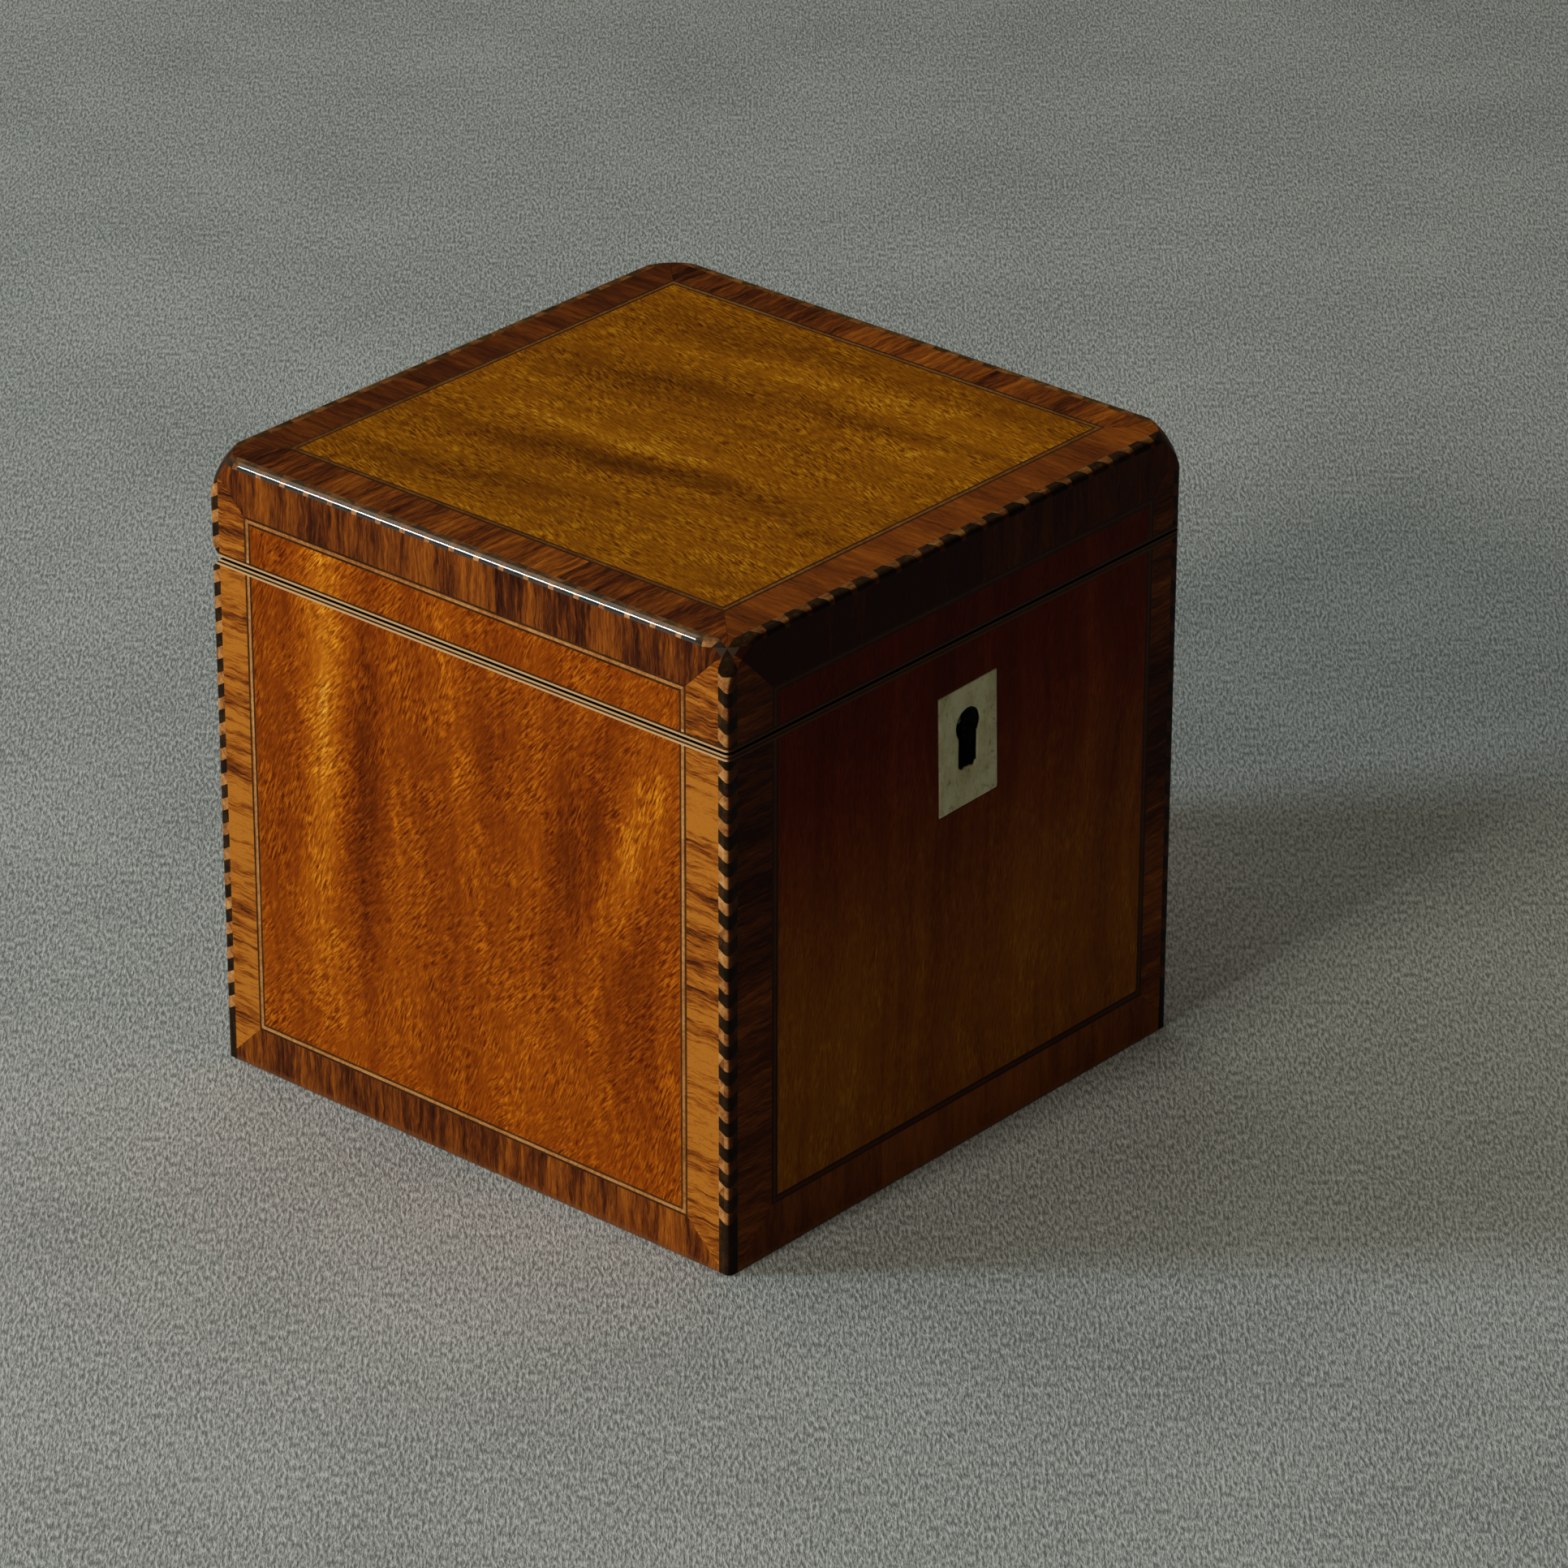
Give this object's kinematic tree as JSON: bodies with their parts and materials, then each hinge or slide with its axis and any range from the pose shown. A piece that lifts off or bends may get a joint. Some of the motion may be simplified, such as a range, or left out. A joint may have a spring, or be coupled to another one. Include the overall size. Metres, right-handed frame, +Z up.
{
  "type": "tea caddy",
  "caption": "Cube-shaped veneered wooden tea caddy with crossbanded borders, chequered edges, a hinged lid, a bone keyhole plate, a small lock and a loose inner lid.",
  "frame": {"origin": "centre of the underside of the base board, where the box rests", "axes": "+Z up out of the lid, -Y to the front with the keyhole, +X to the right seen from the front"},
  "size_m": [0.1216, 0.1216, 0.12],
  "materials": {
    "mahogany": "satin",
    "tulipwood": "satin",
    "boxwood": "satin",
    "ebony": "satin",
    "pine": "matte",
    "cedar": "matte",
    "bone": "satin",
    "brass": "satin",
    "steel": "satin",
    "lead_foil": "matte",
    "lining_paper": "matte"
  },
  "bodies": {
    "body": {"base_board": "pine", "body_boxwood_stringing": "boxwood", "body_chequer_boxwood": "boxwood", "body_chequer_ebony": "ebony", "body_crossband_back": "tulipwood", "body_crossband_front": "tulipwood", "body_crossband_left": "tulipwood", "body_crossband_right": "tulipwood", "body_ebony_stringing": "ebony", "body_panel_back": "mahogany", "body_panel_front": "mahogany", "body_panel_left": "mahogany", "body_panel_right": "mahogany", "carcass_back": "pine", "carcass_front": "pine", "carcass_left": "pine", "carcass_right": "pine", "compartment_lining": "cedar", "escutcheon": "bone", "foil_liner": "lead_foil", "hinge_lower_leaf_left": "brass", "hinge_lower_leaf_right": "brass", "hinge_pins": "steel", "hinge_screws_body": "steel", "lock_cap": "steel", "lock_case": "steel", "lock_drill_pin": "steel", "lock_plate": "brass", "lock_screws": "steel", "lock_spring": "steel"},
    "lid": {"hinge_screws_lid": "steel", "hinge_upper_leaf_left": "brass", "hinge_upper_leaf_right": "brass", "lid_boxwood_stringing": "boxwood", "lid_chequer_boxwood": "boxwood", "lid_chequer_ebony": "ebony", "lid_crossband_back": "tulipwood", "lid_crossband_front": "tulipwood", "lid_crossband_left": "tulipwood", "lid_crossband_right": "tulipwood", "lid_crossband_top": "tulipwood", "lid_ebony_stringing": "ebony", "lid_lining_paper": "lining_paper", "lid_panel_back": "mahogany", "lid_panel_front": "mahogany", "lid_panel_left": "mahogany", "lid_panel_right": "mahogany", "lid_panel_top": "mahogany", "lid_top_board": "pine", "lid_wall_back": "pine", "lid_wall_front": "pine", "lid_wall_left": "pine", "lid_wall_right": "pine", "link_plate": "brass", "link_plate_screws": "steel"},
    "inner_lid": {"inner_lid": "mahogany", "inner_lid_knob": "bone"},
    "lock_bolt": {"lock_bolt": "steel"}
  },
  "joints": [
    {"name": "lid_hinge", "type": "hinge", "parent": "body", "child": "lid", "pos_m": [0, 0.05865, 0.10055], "axis": [-1, 0, 0], "range_deg": [0, 98]},
    {"name": "inner_lid_lift", "type": "slide", "parent": "body", "child": "inner_lid", "axis": [0, 0, 1], "range_m": [0, 0.012]},
    {"name": "lock_bolt_slide", "type": "slide", "parent": "body", "child": "lock_bolt", "axis": [1, 0, 0], "range_m": [0, 0.004]}
  ]
}
